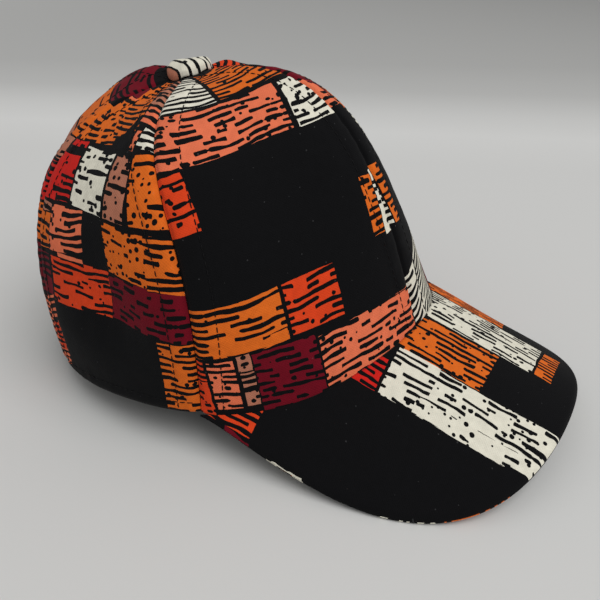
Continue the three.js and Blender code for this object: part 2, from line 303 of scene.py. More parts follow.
def sheet_faces(rows, columns):
    """Quads of a closed sheet: an outer and an inner grid of points, joined round their four edges.
    The inner grid's faces come last, and their number is given too."""
    outer, inner = np.arange(2 * rows * columns).reshape(2, rows, columns)

    def between(first, second):
        """Quads between two lines, or two grids, of point numbers."""
        return np.stack([first[:-1], first[1:], second[1:], second[:-1]], -1).reshape(-1, 4)

    over = between(outer[:, :-1], outer[:, 1:])[:, ::-1]
    under = between(inner[:, :-1], inner[:, 1:])
    edges = [
        between(outer[0], inner[0])[:, ::-1],
        between(outer[-1], inner[-1]),
        between(outer[:, 0], inner[:, 0]),
        between(outer[:, -1], inner[:, -1])[:, ::-1],
    ]
    return np.concatenate([over, *edges, under]), len(under)


def make_mesh(name, points, faces, place=None, materials=(), inside=0, caps=()):
    """A mesh object of points in millimetres on the level cap. faces are quads, of which the last,
    as many as inside, take the second material, and caps are rings of points closed by one face
    each. place gives each point's cloth coordinates for the print. Faces are turned outwards by
    the sign of the volume that they enclose, the sum of their corners' triple products."""
    stood = standing(points.reshape(-1, 3)) * MM
    corners = stood[faces] - stood.mean(0)
    volume = np.einsum("ij,ij->", corners[:, 0], np.cross(corners[:, 1], corners[:, 2]))
    volume += np.einsum("ij,ij->", corners[:, 0], np.cross(corners[:, 2], corners[:, 3]))
    turn = -1 if volume < 0 else 1
    faces = faces[:, ::turn]
    caps = [cap[::turn] for cap in caps]
    mesh = bpy.data.meshes.new(name)
    mesh.from_pydata(stood, [], [*faces, *caps])
    mesh.polygons.foreach_set("use_smooth", np.ones(len(mesh.polygons), bool))
    if place is not None:
        layer = mesh.uv_layers.new(name="cloth")
        corner = np.concatenate([faces.ravel(), *caps])
        layer.uv.foreach_set("vector", place.reshape(-1, 2)[corner].astype(np.float32).ravel())
    for material in materials:
        mesh.materials.append(material)
    if inside:
        index = np.zeros(len(mesh.polygons), np.int32)
        index[len(faces) - inside:len(faces)] = 1
        mesh.polygons.foreach_set("material_index", index)
    mesh.update()
    piece = bpy.data.objects.new(name, mesh)
    bpy.context.scene.collection.objects.link(piece)
    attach(piece, "root")
    return piece


def linear(colour):
    """An sRGB hex colour as the linear red, green, blue and alpha that a shader takes."""
    parts = np.array([int(colour[i:i + 2], 16) / 255 for i in (1, 3, 5)])
    low = parts / 12.92
    high = ((parts + 0.055) / 1.055) ** 2.4
    return (*np.where(parts <= 0.04045, low, high), 1)


def add_node(tree, kind, *inputs, output=0, named=None, **settings):
    """Adds a node with its settings. Its inputs are given by place, with None for one left as it
    is, or by name; each is a value or the socket that it is linked from. Gives back one of its
    outputs, where it has any. A mix node has its vectors at 4 and 5, its colours at 6 and 7, and
    gives them out at 1 and 2."""
    node = tree.nodes.new(kind)
    for key, value in settings.items():
        setattr(node, key, value)
    by_place = {index: value for index, value in enumerate(inputs) if value is not None}
    for key, value in {**by_place, **(named or {})}.items():
        if isinstance(value, bpy.types.NodeSocket):
            tree.links.new(value, node.inputs[key])
        else:
            node.inputs[key].default_value = value
    return node.outputs[output] if node.outputs else None


# Dyes of the print, as they look on the cloth in plain light.
DYES = {
    "ivory": "#E4E0CF",
    "orange": "#DE6A20",
    "red orange": "#DC431C",
    "salmon": "#E67551",
    "red": "#CC221B",
    "burgundy": "#6E0A1C",
    "dusty pink": "#B4745C",
    "black": "#0A0A0C",
}

# Sizes in the print, in millimetres of cloth.
INK = 0.5               # half the ink line between two patches
EDGE_SHAKE = 0.75       # how far the printed edges waver
SHAKE_LENGTH = 5
ROW_PITCH = 2.95        # from one row of strokes to the next
ROW_SWAY = 0.9          # how far the rows sway
SWAY_LENGTH = 20
DOT_SPACING = 2.9
DOT_SIZE = 1.5

# Strokes, in the noise that draws them. Weight is the square of half a stroke's width, where a row
# is as high as ROW_SPAN.
ROW_SPAN = 0.8
ROW_STEP = 7.31         # from row to row, far enough that no two look alike
STROKE_WEIGHT = 0.1
LEAST_WEIGHT = -0.002   # under zero, so that the faintest strokes are left out
BLUNTNESS = 0.36        # how soon a stroke comes to its full weight, for each millimetre of length
EMPTY = 0.705           # threshold of a patch with no strokes
FILLED = 0.42           # how far it falls in a full one
END_FILLED = 0.06       # how far it falls again at a patch's ends
END_FADE = 0.7          # and the share of that left at each millimetre inwards

# The cloth under the print.
THREADS = 1.2           # two threads of the weave, drawn twice as coarse as real so that they show
MOTTLES = 0.3           # lighter and darker spots of the cloth to a millimetre
LINT = "#8A8A8C"        # pale specks of fluff
LINT_SPACING = 8
LINT_SIZE = 0.42


def patch_group():
    """A node group that lays one printed patch over those before it. The patch is a box of cloth
    whose lower and upper edges slope and whose ends lean: its mask is where the larger of the
    distances past its half width and half height is under zero. Spot is the place along and above
    the patch's own edges, for its rows of strokes, and how far it lies inside the nearer end."""
    group = bpy.data.node_groups.new("printed patch", "ShaderNodeTree")
    taken = {
        "Place": "Vector", "Middle": "Vector", "Half size": "Vector", "Slant": "Vector", "Dye": "Color",
        "Marks": "Vector", "Dye before": "Color", "Marks before": "Vector", "Spot before": "Vector",
    }
    for name, kind in taken.items():
        group.interface.new_socket(name, in_out="INPUT", socket_type=f"NodeSocket{kind}")
    for name, kind in {"Dye": "Color", "Marks": "Vector", "Spot": "Vector"}.items():
        group.interface.new_socket(name, in_out="OUTPUT", socket_type=f"NodeSocket{kind}")
    given = group.nodes.new("NodeGroupInput").outputs
    from_middle = add_node(
        group, "ShaderNodeVectorMath", given["Place"], given["Middle"], operation="SUBTRACT")
    along = add_node(group, "ShaderNodeSeparateXYZ", from_middle)
    up = along.node.outputs["Y"]
    slope = add_node(group, "ShaderNodeSeparateXYZ", given["Slant"])
    lean = slope.node.outputs["Y"]
    first_row = slope.node.outputs["Z"]
    leaned = add_node(
        group, "ShaderNodeMath", along, add_node(group, "ShaderNodeMath", up, lean, operation="MULTIPLY"),
        operation="SUBTRACT")
    sloped = add_node(
        group, "ShaderNodeMath", up, add_node(group, "ShaderNodeMath", along, slope, operation="MULTIPLY"),
        operation="SUBTRACT")
    own = add_node(group, "ShaderNodeCombineXYZ", leaned, sloped)
    away = add_node(group, "ShaderNodeVectorMath", own, operation="ABSOLUTE")
    past = add_node(group, "ShaderNodeVectorMath", away, given["Half size"], operation="SUBTRACT")
    past_end = add_node(group, "ShaderNodeSeparateXYZ", past)
    outside = add_node(group, "ShaderNodeMath", past_end, past_end.node.outputs["Y"], operation="MAXIMUM")
    mask = add_node(group, "ShaderNodeMath", outside, 0.0, operation="LESS_THAN")
    inset = add_node(group, "ShaderNodeMath", past_end, -1.0, operation="MULTIPLY")
    row = add_node(group, "ShaderNodeMath", sloped, first_row, operation="ADD")
    spot = add_node(group, "ShaderNodeCombineXYZ", leaned, row, inset)
    dye = add_node(
        group, "ShaderNodeMix", mask, output=2, named={6: given["Dye before"], 7: given["Dye"]},
        data_type="RGBA")
    marks = add_node(
        group, "ShaderNodeMix", mask, output=1, named={4: given["Marks before"], 5: given["Marks"]},
        data_type="VECTOR")
    spot = add_node(
        group, "ShaderNodeMix", mask, output=1, named={4: given["Spot before"], 5: spot}, data_type="VECTOR")
    add_node(group, "NodeGroupOutput", dye, marks, spot)
    return group


PATCH_GROUP = patch_group()


def ink_strokes(tree, cloth, spot, amount, length):
    """Inked strokes in rows along a patch. Noise drawn out along a row gives a stroke where it
    passes a threshold, which falls with the amount and near the patch's ends. How far it passes,
    times the bluntness and capped by the stroke's weight, is more than the square of the distance
    from the row's middle inside the stroke, and that rounds its ends. The rows sway by a broader
    noise, which mostly stays within a quarter of its middle value."""
    along = add_node(tree, "ShaderNodeSeparateXYZ", spot)
    up = along.node.outputs["Y"]
    inset = along.node.outputs["Z"]
    bend = add_node(
        tree, "ShaderNodeTexNoise", cloth, named={"Scale": 1 / SWAY_LENGTH, "Detail": 1.0},
        noise_dimensions="2D")
    sway = ROW_SWAY / 0.25 / ROW_PITCH
    swayed = add_node(tree, "ShaderNodeMath", bend, sway, -sway / 2, operation="MULTIPLY_ADD")
    rows = add_node(tree, "ShaderNodeMath", up, 1 / ROW_PITCH, swayed, operation="MULTIPLY_ADD")
    row = add_node(tree, "ShaderNodeMath", rows, operation="FLOOR")
    share = add_node(tree, "ShaderNodeMath", rows, operation="FRACT")
    from_row = add_node(tree, "ShaderNodeMath", share, ROW_SPAN, -ROW_SPAN / 2, operation="MULTIPLY_ADD")
    square = add_node(tree, "ShaderNodeMath", from_row, from_row, operation="MULTIPLY")
    place = add_node(
        tree, "ShaderNodeCombineXYZ",
        add_node(tree, "ShaderNodeMath", along, length, operation="DIVIDE"),
        add_node(tree, "ShaderNodeMath", row, ROW_STEP, operation="MULTIPLY"))
    drawn = add_node(
        tree, "ShaderNodeTexNoise", place, output="Color", named={"Scale": 0.8, "Detail": 0.8},
        noise_dimensions="2D")
    stroke = add_node(tree, "ShaderNodeSeparateColor", drawn)
    weight = add_node(
        tree, "ShaderNodeMath", stroke.node.outputs["Green"], STROKE_WEIGHT, LEAST_WEIGHT,
        operation="MULTIPLY_ADD")
    inside = add_node(tree, "ShaderNodeMath", inset, 0.0, operation="MAXIMUM")
    near_end = add_node(tree, "ShaderNodeMath", END_FADE, inside, operation="POWER")
    at_least = add_node(tree, "ShaderNodeMath", amount, -FILLED, EMPTY, operation="MULTIPLY_ADD")
    threshold = add_node(tree, "ShaderNodeMath", near_end, -END_FILLED, at_least, operation="MULTIPLY_ADD")
    passed = add_node(tree, "ShaderNodeMath", stroke, threshold, operation="SUBTRACT")
    bluntness = add_node(tree, "ShaderNodeMath", length, BLUNTNESS, operation="MULTIPLY")
    blunt = add_node(tree, "ShaderNodeMath", passed, bluntness, operation="MULTIPLY")
    height = add_node(tree, "ShaderNodeMath", blunt, weight, operation="MINIMUM")
    return add_node(tree, "ShaderNodeMath", height, square, operation="GREATER_THAN")


def round_spots(tree, cloth, amount, spacing, size):
    """Round spots, one to a cell and only in as many cells as amount says, of sizes that vary by
    half about the given one."""
    near = add_node(
        tree, "ShaderNodeTexVoronoi", cloth, named={"Scale": 1 / spacing, "Randomness": 0.9},
        voronoi_dimensions="2D")
    chance = add_node(tree, "ShaderNodeSeparateColor", near.node.outputs["Color"])
    radius = add_node(
        tree, "ShaderNodeMath", chance.node.outputs["Green"], size / 2 / spacing, size / 4 / spacing,
        operation="MULTIPLY_ADD")
    spot = add_node(tree, "ShaderNodeMath", near, radius, operation="LESS_THAN")
    chosen = add_node(tree, "ShaderNodeMath", chance, amount, operation="LESS_THAN")
    return add_node(tree, "ShaderNodeMath", spot, chosen, operation="MULTIPLY")


def plain_weave(tree, cloth):
    """The height of a plain weave between -1 and 1: the product of a sine along each thread."""
    turns = add_node(
        tree, "ShaderNodeVectorMath", cloth, named={"Scale": 2 * math.pi / THREADS}, operation="SCALE")
    waves = add_node(tree, "ShaderNodeVectorMath", turns, operation="SINE")
    across = add_node(tree, "ShaderNodeSeparateXYZ", waves)
    return add_node(tree, "ShaderNodeMath", across, across.node.outputs["Y"], operation="MULTIPLY")


def cotton_cloth(name, colour_on):
    """Matt cotton: threads and slight rumples in its relief, a faint fuzz at a glancing angle, its
    colour a little uneven and a few specks of lint on it. colour_on gives its colour from the
    tree and the cloth coordinates."""
    material = bpy.data.materials.new(name)
    material.use_nodes = True
    tree = material.node_tree
    tree.nodes.clear()
    cloth = add_node(tree, "ShaderNodeUVMap", uv_map="cloth")
    weave = plain_weave(tree, cloth)
    mottle = add_node(
        tree, "ShaderNodeTexNoise", cloth, named={"Scale": MOTTLES, "Detail": 4.0}, noise_dimensions="2D")
    tone = add_node(tree, "ShaderNodeMath", mottle, 0.3, 0.85, operation="MULTIPLY_ADD")
    tone = add_node(tree, "ShaderNodeMath", weave, 0.03, tone, operation="MULTIPLY_ADD")
    dyed = add_node(
        tree, "ShaderNodeVectorMath", colour_on(tree, cloth), named={"Scale": tone}, operation="SCALE")
    lint = round_spots(tree, cloth, 0.4, LINT_SPACING, LINT_SIZE)
    colour = add_node(
        tree, "ShaderNodeMix", add_node(tree, "ShaderNodeMath", lint, 0.12, operation="MULTIPLY"), output=2,
        named={6: dyed, 7: linear(LINT)}, data_type="RGBA")
    relief = add_node(tree, "ShaderNodeMath", mottle, 2.0, weave, operation="MULTIPLY_ADD")
    bump = add_node(
        tree, "ShaderNodeBump", named={"Strength": 0.3, "Distance": 0.12 * MM, "Height": relief})
    shell = add_node(tree, "ShaderNodeBsdfPrincipled", named={
        "Base Color": colour, "Roughness": 0.9, "Specular IOR Level": 0.12, "Sheen Weight": 0.02,
        "Sheen Roughness": 0.5, "Normal": bump,
    })
    add_node(tree, "ShaderNodeOutputMaterial", shell)
    return material


def printed_cotton(name, patches):
    """Plain-woven cotton printed with a patchwork on a black ground: bright blocks with wavering
    edges, crossed by hand-drawn black strokes and dots."""

    def printed(tree, cloth):
        """The dye at each place: the last patch that lies there, under its ink."""
        shake = add_node(
            tree, "ShaderNodeTexNoise", cloth, output="Color",
            named={"Scale": 1 / SHAKE_LENGTH, "Detail": 1.5}, noise_dimensions="2D")
        centred = add_node(tree, "ShaderNodeVectorMath", shake, (0.5, 0.5, 0.5), operation="SUBTRACT")
        place = add_node(
            tree, "ShaderNodeVectorMath", centred, (EDGE_SHAKE, EDGE_SHAKE, 0), cloth,
            operation="MULTIPLY_ADD")
        dye, marks, spot = linear(DYES["black"]), (0, 1, 0), (0, 0, 0)
        for number, row in enumerate(patches):
            colour, left, right, low, high, *rest = row
            strokes, length, dots, slope, lean = [*rest, *PLAIN_PATCH[len(rest):]]
            half_height = (high - low) / 2
            dye = add_node(tree, "ShaderNodeGroup", node_tree=PATCH_GROUP, named={
                "Place": place,
                "Middle": ((left + right) / 2, (low + high) / 2, 0),
                "Half size": ((right - left) / 2 - INK, half_height - INK, 1),
                "Slant": (slope, lean, half_height + ROW_PITCH * number),
                "Dye": linear(DYES[colour]),
                "Marks": (strokes, length, dots),
                "Dye before": dye,
                "Marks before": marks,
                "Spot before": spot,
            })
            marks = dye.node.outputs["Marks"]
            spot = dye.node.outputs["Spot"]
        amount = add_node(tree, "ShaderNodeSeparateXYZ", marks)
        strokes = ink_strokes(tree, cloth, spot, amount, amount.node.outputs["Y"])
        dots = round_spots(tree, cloth, amount.node.outputs["Z"], DOT_SPACING, DOT_SIZE)
        ink = add_node(tree, "ShaderNodeMath", strokes, dots, operation="MAXIMUM")
        return add_node(
            tree, "ShaderNodeMix", ink, output=2, named={6: dye, 7: linear(DYES["black"])}, data_type="RGBA")

    return cotton_cloth(name, printed)


def black_cotton(tree, cloth):
    """One colour all over."""
    return linear("#161618")[:3]


FACING = cotton_cloth("black cotton facing", black_cotton)

# The print as it falls on each panel, in millimetres of cloth: from the panel's middle, growing to
# the right as one looks at the panel from outside, and up from the rim. Each row: dye, its two
# ends, its lower and upper edges, how full it is of strokes, how long they are, how full it is of
# dots, the slope of its edges and strokes, and the lean of its ends. Where a row stops short, its
# last values are a plain patch's. Later rows lie over earlier.
PLAIN_PATCH = (0, 6, 0, 0, 0)
PRINT = {
    "front_right": [
        ("ivory", -34, -5, 121.7, 152, 0.95, 18, 0, -0.05),
        ("orange", -4.2, 30, 120.4, 152, 0.85, 9, 0.1, -0.06),
        ("black", 13, 28, 131, 152, 0, 6, 0, 0, -0.53),
        ("salmon", -41, 18.1, 98.1, 120.7, 0.64, 6, 0.25, -0.072, 0.08),
        ("ivory", 19.2, 42, 95, 117.5, 0.5, 4, 0.5, -0.05, 0.08),
        ("ivory", 19.2, 42, 95, 106, 0.85, 9, 0.15, -0.02, 0.08),
        ("red orange", -48, -30.4, 76.2, 99.5, 0.05, 5, 0.25, 0.13, 0.09),
        ("black", -48, -29, 97.2, 99.8, 0, 6, 0, 0.12),
        ("black", -48, -29, 93.7, 95.9, 0, 6, 0, 0.12),
        ("black", -48, -29, 82.2, 84.6, 0, 6, 0, 0.17),
        ("orange", 32.9, 40, 44.6, 70.8, 0.6, 7, 0.2),
        ("ivory", 39.4, 49, 43, 70.4, 0.6, 5, 0.1),
        ("orange", -52, -12.6, 26.4, 48.6, 0.7, 10, 0.05, -0.05),
        ("orange", -41, -12.8, 26.6, 31.8, 0.05, 8, 0, -0.05),
        ("red orange", -12, 12, 24.6, 46.2, 0.62, 11, 0.1, -0.11),
        ("burgundy", -28.6, -2.2, -3, 25, 0.55, 6, 0.1, -0.14, -0.03),
        ("salmon", -45.5, -35, 2, 25.8, 0.55, 6, 0.35, -0.03),
        ("dusty pink", -34.6, -28.6, 18.7, 27, 0, 4, 0.15),
        ("dusty pink", -34.4, -28.3, 10, 18.9, 0.95, 5),
        ("dusty pink", -34.2, -28, 2.5, 10, 0, 4, 0.3),
        ("red orange", -56, -45.7, -3, 16.8, 0.1, 5, 0.15, 0.05),
        ("red orange", -56, -45.7, 16.6, 28, 0.85),
        ("salmon", -2.2, 50, -6, 20.3, 0.62, 7, 0.25, -0.06),
        ("salmon", 22, 46, 11.3, 19, 0.25, 9, 0.1, -0.05),
    ],
    "side_right": [
        ("orange", 29.9, 56, -4, 31.4, 0.75, 7, 0.2, -0.03),
        ("burgundy", 5.9, 50, 32.7, 53, 0.5, 5, 0, -0.12, 0.2),
        ("red orange", -29.3, 7.5, 36.2, 57.6, 0.45, 10, 0.15, -0.08, 0.2),
        ("red orange", -27.5, 8.6, 50, 57.6, 0.8, 8, 0, -0.08, 0.2),
        ("burgundy", -52, -29.8, 38, 59.5, 0.4, 14, 0, -0.05, 0.15),
        ("salmon", -52, -31, 1, 37.6, 0.8, 9, 0, 0.3),
        ("red orange", -52, -31.4, 9, 25.5, 0.7, 9, 0, 0.3),
        ("salmon", -26, -3.4, 60, 79.6, 0.55, 9, 0.2, 0, 0.11),
        ("salmon", -21, -5.6, 57.2, 60, 0, 6, 0, -0.12),
        ("orange", -52, -25.6, 60.2, 75.7, 0.2, 18, 0, 0, 0.1),
        ("dusty pink", -52, -25, 75.4, 80.2, 0.9, 12),
        ("red", -37, -11.8, 80.3, 100.8, 0.42, 12, 0.2, 0, 0.07),
        ("red", -22.5, -10.4, 103.6, 107.4, 0.1, 5, 0, 0, 0.07),
        ("ivory", -11.6, 10.8, 77.8, 104, 0.42, 7, 0.25, -0.175, 0.12),
        ("dusty pink", 11.1, 23, 74.6, 100.8, 0.35, 8, 0.35, -0.2, 0.12),
        ("black", 21.9, 24.6, 73, 100, 0, 6, 0, 0, -0.06),
        ("orange", 22.9, 50, 71.8, 97.8, 0.3, 8, 0.45, -0.15, -0.06),
        ("orange", 8.8, 50, 51.8, 71.8, 0.4, 8, 0.5, -0.19, -0.02),
        ("orange", 29.5, 50, 50, 57, 0.95, 16, 0, -0.1),
        ("orange", 29.5, 50, 65, 70.3, 0.95, 16, 0, -0.1),
        ("orange", -36, 6, 106.8, 134, 0.6, 5.5, 0.1, -0.06),
        ("orange", -6.5, 10.2, 110.5, 150, 0.65, 5, 0.1, -0.15, -0.4),
        ("black", 6.5, 18, 100.8, 111.5, 0, 6, 0, 0, 0.2),
        ("black", 10.2, 16.6, 108, 118.4, 0, 6, 0, 0, 0.35),
        ("black", -20, -4, 130, 133),
        ("salmon", -20, -4, 132.4, 134.5),
        ("burgundy", -18, -5.6, 134, 142.4, 0.2),
        ("black", -10, -3.5, 141.6, 152),
        ("ivory", 20.8, 33, 99.9, 110.6, 0.9, 8, 0.2, -0.35),
        ("salmon", 17.4, 21, 101.2, 110.6, 0.5, 4, 0, -0.3),
        ("salmon", 14.5, 27, 110.8, 123, 0.85, 9, 0, -0.6, -0.2),
        ("dusty pink", 10.4, 22, 122, 133.5, 0.85, 7, 0, -0.6),
        ("dusty pink", 5, 14, 133.8, 147, 0.8, 9, 0, -0.6),
    ],
    "back_right": [
        ("orange", -12, 34, 112.5, 134.3, 0.25, 16, 0.1, -0.05),
        ("burgundy", -14, 15, 134, 156, 0.6, 9, 0, -0.1),
        ("dusty pink", -4, 36, 98.5, 111.8, 0.2, 14, 0.1),
        ("ivory", -34, -12.5, 100, 126, 0.6, 6, 0.2),
        ("red", 12.5, 44, 77, 98, 0.6, 6, 0.1),
        ("salmon", -12, 12, 70, 98, 0.55, 6, 0.2),
        ("orange", 20, 52, 57.5, 76.5, 0.4, 7, 0.1),
        ("burgundy", 24, 52, 31, 57, 0.5, 5),
        ("red orange", -50, -22, 50, 74, 0.5, 7, 0.1),
        ("ivory", -14, 8, 4, 30, 0.5, 5, 0.2),
        ("salmon", 34, 54, -4, 30.5, 0.85, 9),
        ("orange", -44, -14.5, -4, 24, 0.9, 12),
    ],
    "front_left": [
        ("burgundy", -36, 2, 100, 131, 0.5),
        ("salmon", -46, -29.5, 97.5, 115, 0.35, 5, 0.1),
        ("red orange", -22, 8, 140, 156, 1.1, 9),
        ("orange", 2.5, 38, 96, 119, 0.8, 9),
        ("ivory", 4, 24, 76, 95.5, 0.5, 5, 0.2),
        ("red", 24.5, 46, 72, 95.5, 0.6, 6, 0.1),
        ("orange", -43.6, -37.3, 44.5, 71.5, 0.5, 7, 0.1),
        ("ivory", -52, -43.4, 43, 70.5, 0.6, 5, 0.1),
        ("ivory", -56, -18, -12, 28.3, 0.85, 12, 0, 0.55),
        ("burgundy", -17.5, 8, -4, 19.5, 0.5, 5),
        ("dusty pink", 8.5, 24, -4, 19.5, 0.3, 6, 0.3),
        ("orange", -4, 24, 20, 42, 0.9, 14),
        ("salmon", 24.5, 56, 14, 42, 0.6, 8, 0.2),
    ],
    "side_left": [
        ("red orange", -14, 14, 142, 156, 1.1, 9),
        ("orange", -30, -2, 112, 134, 0.8, 9, 0, 0.05),
        ("salmon", -1.5, 24, 106, 130, 0.6, 6, 0.2, 0.05),
        ("ivory", -40, -14, 90, 111.5, 0.55, 5, 0.2, 0.05),
        ("red orange", -13.5, 12, 84, 105.5, 0.5, 7, 0.1),
        ("burgundy", 12.5, 44, 80, 105.5, 0.5, 5),
        ("orange", -46, -16, 62, 89.5, 0.4, 6, 0.4),
        ("dusty pink", -15.5, -3, 58, 83.5, 0.3, 5, 0.3),
        ("salmon", -46, -18, -4, 24, 0.6, 7, 0.2),
        ("red", -17.5, 4, 6, 30, 0.6, 6, 0.1),
        ("ivory", 20, 50, 22, 48, 0.6, 6, 0.1),
        ("orange", 24, 50, -4, 21.5, 0.9, 12),
    ],
    "back_left": [
        ("burgundy", -12, 14, 134, 156, 0.5),
        ("orange", -26, 4, 112, 133.5, 0.8, 9),
        ("ivory", 4.5, 24, 104, 128, 0.6, 6, 0.2),
        ("red orange", -50, -16, 88, 111.5, 0.5, 7, 0.1),
        ("salmon", -15.5, 8, 82, 103.5, 0.6, 6, 0.2),
        ("dusty pink", -30, -16, 64, 87.5, 0.3, 5, 0.3),
        ("orange", 8.5, 50, 60, 84, 0.4, 6, 0.4),
        ("burgundy", 24, 54, 34, 59.5, 0.5, 5),
        ("ivory", -50, -24, 8, 34, 0.6, 6, 0.1),
        ("red", -23.5, 2, 14, 38, 0.6, 6, 0.1),
        ("orange", 2.5, 26, -4, 30, 0.9, 12),
    ],
}

panels = {}
for side_name, side in (("right", 1), ("left", -1)):
    for index, panel_name in enumerate(PANELS):
        own = f"{panel_name}_{side_name}"
        outer, inner, across, along = panels[own] = panel_grid(index, side)
        faces, inside = sheet_faces(*across.shape)
        place = np.stack([across, along], -1)
        piece = make_mesh(
            f"{own}_cloth", np.stack([outer, inner]), faces, np.stack([place, place]),
            [printed_cotton(f"patchwork print cotton, {own.replace('_', ' ')}", PRINT[own]), FACING], inside)
        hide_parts(f"{own}_panel")

# Topstitching: polyester thread, a row on each side of every seam that holds its allowance down,
# and a row round the hem. Each stitch is a short bulging length of thread whose ends dip into
# the cloth.
STITCH_LENGTH = 2.5
STITCH_PITCH = 3.1
THREAD_RADIUS = 0.24
TWIST = 2.9             # one band of the thread's twist, drawn coarser than real so that it shows
STITCH_SIDES = 6
ROWS_END = 0.42         # how near a panel's middle its rows run, as a share of its width
ROWS_START = 1          # from the rim up to the first stitch

# One stitch from end to end: how far along it each ring lies, its radius and its height, as
# shares of half the length, of the thread's radius and of that radius again.
STITCH = {
    "along": (-1, -0.93, -0.6, 0, 0.6, 0.93, 1),
    "radius": (0.25, 0.7, 1, 1, 1, 0.7, 0.25),
    "height": (-0.9, -0.4, 0.25, 0.5, 0.25, -0.4, -0.9),
}


def row_beside_seam(outer, across, share_of_width):
    """Points and normals of a line up a panel, each row's at its share of the panel's width, from
    the two nearest columns."""
    shares = (across[0] - across[0, 0]) / (across[0, -1] - across[0, 0])
    column = np.clip(np.searchsorted(shares, share_of_width) - 1, 0, len(shares) - 2)
    row = np.arange(len(outer))
    part = ((share_of_width - shares[column]) / (shares[column + 1] - shares[column]))[:, None]
    normal = grid_normals(outer)
    line = outer[row, column] * (1 - part) + outer[row, column + 1] * part
    return line, unit(normal[row, column] * (1 - part) + normal[row, column + 1] * part)


def stitch_row(line, normal):
    """Stitches along a line of points: each is a tube whose rings bulge in the middle, set by
    the line's direction and the cloth's normal where it lies."""
    length = np.concatenate([[0], np.linalg.norm(np.diff(line, axis=0), axis=1).cumsum()])
    middles = np.arange(STITCH_PITCH / 2, length[-1] - STITCH_PITCH / 2, STITCH_PITCH)

    def at(distance, values):
        """Values carried along the line to these distances."""
        return np.stack([np.interp(distance, length, column) for column in values.T], -1)

    half = STITCH_LENGTH / 2
    middle = (at(middles - half, line) + at(middles + half, line)) / 2
    forward = unit(at(middles + half, line) - at(middles - half, line))
    up = unit(at(middles, normal))
    beside = unit(np.cross(forward, up))
    turn = np.arange(STITCH_SIDES) * 2 * np.pi / STITCH_SIDES
    along, radius, height = (np.array(column)[:, None] for column in STITCH.values())
    forward_by = along * half + 0 * turn
    up_by = (height + radius * np.sin(turn)) * THREAD_RADIUS
    beside_by = radius * np.cos(turn) * THREAD_RADIUS
    return (
        middle[:, None, None]
        + forward_by[..., None] * forward[:, None, None]
        + up_by[..., None] * up[:, None, None]
        + beside_by[..., None] * beside[:, None, None]
    )


def tube_faces(tubes, rings, sides):
    """Quads round each of several tubes, and the two rings that close each."""
    numbers = np.arange(tubes * rings * sides).reshape(tubes, rings, sides)
    beside = np.roll(numbers, -1, axis=2)
    quads = [numbers[:, :-1], beside[:, :-1], beside[:, 1:], numbers[:, 1:]]
    return np.stack(quads, -1).reshape(-1, 4), [*numbers[:, 0, ::-1], *numbers[:, -1]]


def sewing_thread():
    """Black spun polyester: duller than silk, with the twist of its plies as fine slanting bands.
    The wave texture's slanting bands follow ten times the sum of x, y and z."""
    material = bpy.data.materials.new("black polyester thread")
    material.use_nodes = True
    tree = material.node_tree
    tree.nodes.clear()
    place = add_node(tree, "ShaderNodeTexCoord", output="Object")
    bands = 2 * math.pi / (10 * 3**0.5 * TWIST * MM)
    twist = add_node(
        tree, "ShaderNodeTexWave", place, output=1, named={"Scale": bands, "Distortion": 2.0},
        bands_direction="DIAGONAL")
    tone = add_node(tree, "ShaderNodeMath", twist, 0.6, 0.6, operation="MULTIPLY_ADD")
    colour = add_node(
        tree, "ShaderNodeVectorMath", linear("#0C0B0D")[:3], named={"Scale": tone}, operation="SCALE")
    bump = add_node(tree, "ShaderNodeBump", named={"Strength": 0.4, "Distance": 0.05 * MM, "Height": twist})
    shell = add_node(tree, "ShaderNodeBsdfPrincipled", named={
        "Base Color": colour, "Roughness": 0.7, "Specular IOR Level": 0.15, "Normal": bump,
    })
    add_node(tree, "ShaderNodeOutputMaterial", shell)
    return material


THREAD = sewing_thread()

for own, (outer, inner, across, along) in panels.items():
    width = np.abs(across[:, -1] - across[:, 0])
    rows = []
    for from_left in (True, False):
        share = ALLOWANCE / width if from_left else 1 - ALLOWANCE / width
        shown = (np.abs(share - 0.5) > 0.5 - ROWS_END) & (along[:, 0] > ROWS_START)
        line, normal = row_beside_seam(outer, across, share)
        rows.append(stitch_row(line[shown], normal[shown]))
    if not own.startswith("front"):
        hem = np.argmin(np.abs(along[:, 0] - HEM_ROW))
        rows.append(stitch_row(outer[hem], grid_normals(outer)[hem]))
    stitches = np.concatenate(rows)
    faces, caps = tube_faces(*stitches.shape[:3])
    piece = make_mesh(f"{own}_stitches", stitches, faces, None, [THREAD], 0, caps)

# Peak: two covers of the same cloth over a stiffener, sewn together round the outside and turned
# out, so that they meet in the middle of a soft rounded edge.
PEAK_LENGTH = 62.4          # past the rim, along the middle
PEAK_CORNER = 0.6           # width of the peak where it starts at the front side seam
PEAK_SIDE_HANDLE = 31.3
PEAK_SIDE_ANGLE = math.radians(-9.5)
PEAK_FRONT_HANDLE = 90.9
PEAK_COLUMNS = 190
PEAK_ROWS = 84
PEAK_CROWDING = 1.5         # power by which the rows of its mesh draw towards the outline
PEAK_UNEVEN = 0.25          # how unevenly a cover lies
PEAK_SWELL_LENGTH = 45
PEAK_EDGE_FIRM = 6          # how far in from the outline it lies evenly
PEAK_END_THINNED = 0.65     # share of its thickness lost at the side ends, where only cloth is left
PEAK_END = 0.13             # share of half the peak that this takes
COVER_LEAST = 0.05          # least thickness of the upper cover


